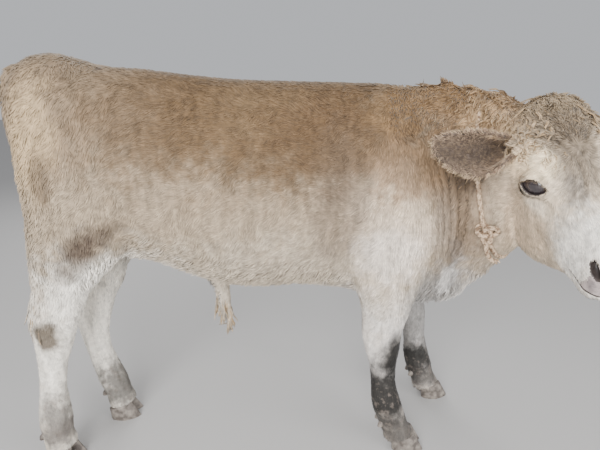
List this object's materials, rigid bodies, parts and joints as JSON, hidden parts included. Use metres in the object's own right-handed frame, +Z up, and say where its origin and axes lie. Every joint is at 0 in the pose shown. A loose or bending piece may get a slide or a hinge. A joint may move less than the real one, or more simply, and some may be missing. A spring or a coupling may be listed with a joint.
{
  "type": "young bull calf, life-size still model",
  "caption": "Life-size still model of a young polled beef bull calf standing with its head turned to its right and lowered, wearing a knotted rope collar.",
  "frame": {"origin": "on the floor under the middle of the model's box, the rope's free end left out", "axes": "+X towards the calf's front, +Y towards its left side, +Z up"},
  "size_m": [1.665, 0.6636, 1.1259],
  "materials": {
    "face_hide": "cream short hair over hide, matte",
    "neck_hide": "warm tan hair over hide, matte",
    "body_hide": "tan-beige hair over hide, matte",
    "fore_leg_hide": "near white short hair, matte",
    "hind_leg_hide": "cream short hair, matte",
    "ear_hide": "grey-brown hair, matte",
    "eye_wet": "dark, wet and glossy",
    "claw_horn": "grey-brown horn, satin",
    "dewclaw_horn": "dark horn, matte",
    "tail_hide": "beige hair over hide, matte",
    "switch_hair": "long pale hair, matte",
    "sheath_hair": "pale hair, matte",
    "scrotum_hide": "pale pinkish skin, matte",
    "collar_rope_fibre": "twisted off-white fibre, matte"
  },
  "bodies": {
    "root": {"claw_fore_left_inner": "claw_horn", "claw_fore_left_outer": "claw_horn", "claw_fore_right_inner": "claw_horn", "claw_fore_right_outer": "claw_horn", "claw_hind_left_inner": "claw_horn", "claw_hind_left_outer": "claw_horn", "claw_hind_right_inner": "claw_horn", "claw_hind_right_outer": "claw_horn", "collar_knot": "collar_rope_fibre", "collar_rope": "collar_rope_fibre", "collar_tail": "collar_rope_fibre", "dewclaw_fore_left_inner": "dewclaw_horn", "dewclaw_fore_left_outer": "dewclaw_horn", "dewclaw_fore_right_inner": "dewclaw_horn", "dewclaw_fore_right_outer": "dewclaw_horn", "dewclaw_hind_left_inner": "dewclaw_horn", "dewclaw_hind_left_outer": "dewclaw_horn", "dewclaw_hind_right_inner": "dewclaw_horn", "dewclaw_hind_right_outer": "dewclaw_horn", "ear_left": "ear_hide", "ear_right": "ear_hide", "eye_left": "eye_wet", "eye_right": "eye_wet", "fore_leg_left": "fore_leg_hide", "fore_leg_right": "fore_leg_hide", "head": "face_hide", "hind_leg_left": "hind_leg_hide", "hind_leg_right": "hind_leg_hide", "neck": "neck_hide", "scrotum": "scrotum_hide", "sheath": "sheath_hair", "tail": "tail_hide", "tail_switch": "switch_hair", "torso": "body_hide"}
  },
  "joints": []
}
